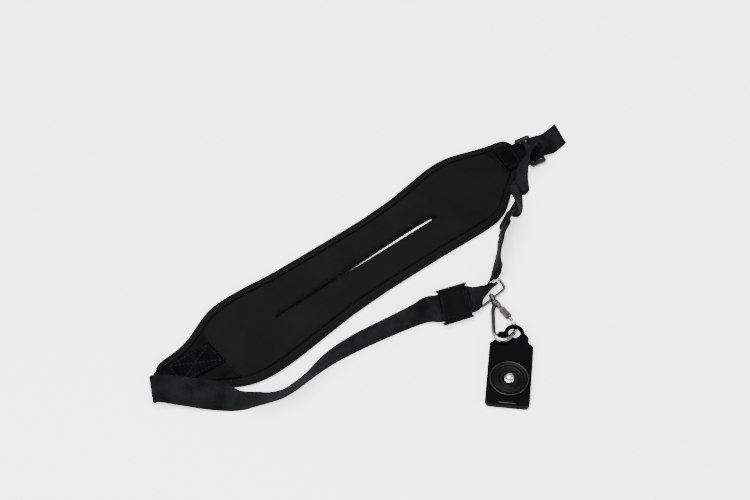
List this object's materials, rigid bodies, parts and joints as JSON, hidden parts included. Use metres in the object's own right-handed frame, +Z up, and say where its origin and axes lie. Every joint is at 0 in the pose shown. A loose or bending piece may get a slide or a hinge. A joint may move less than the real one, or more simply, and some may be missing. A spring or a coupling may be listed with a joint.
{
  "type": "camera neck strap",
  "caption": "Padded neck strap lying as an open loop of webbing, with a stopper, a slider, a buckle and a swivel snap hook that carries a camera mounting plate.",
  "frame": {"origin": "centre of the underside of the whole strap's box, on the floor it lies on", "axes": "+X along the shoulder pad, from the webbing's fold towards the buckle; +Y from the webbing and the hook towards the pad; +Z up"},
  "size_m": [0.4708, 0.252, 0.0346],
  "materials": {
    "pad_cloth": "matt stretch cloth over foam",
    "binding_tape": "matt ribbed tape",
    "webbing": "coarse woven webbing",
    "moulded_plastic": "satin moulded",
    "bright_metal": "polished",
    "plate_paint": "satin black",
    "rubber": "matt"
  },
  "bodies": {
    "strap": {"shoulder_pad": "pad_cloth", "pad_binding": "binding_tape", "left_end_patch": "pad_cloth", "right_end_patch": "pad_cloth", "main_webbing": "webbing", "right_tab": "webbing", "strap_stopper": "moulded_plastic", "strap_ring": "bright_metal", "web_slider": "moulded_plastic", "ladder_buckle": "moulded_plastic"},
    "hook": {"snap_hook": "bright_metal", "mount_plate": "plate_paint", "plate_pad": "rubber"},
    "gate": {"hook_gate": "bright_metal"},
    "nut": {"gate_nut": "bright_metal"},
    "screw": {"camera_screw": "bright_metal"}
  },
  "joints": [
    {"name": "hook_swivel", "type": "hinge", "parent": "strap", "child": "hook", "pos_m": [0.0558, -0.02556, 0.0033], "axis": [-0.342, -0.9397, 0], "continuous": true},
    {"name": "gate_hinge", "type": "hinge", "parent": "hook", "child": "gate", "pos_m": [0.0549, -0.03486, 0.0034], "axis": [0, 0, -1], "range_deg": [0, 25], "stiffness_Nm_per_rad": 0.02},
    {"name": "nut_slide", "type": "slide", "parent": "gate", "child": "nut", "axis": [-0.0837, -0.9965, 0], "range_m": [-0.0008, 0.0032]},
    {"name": "screw_turn", "type": "hinge", "parent": "hook", "child": "screw", "pos_m": [0.00937, -0.09697, 0.006], "axis": [0, 0, 1], "continuous": true}
  ]
}
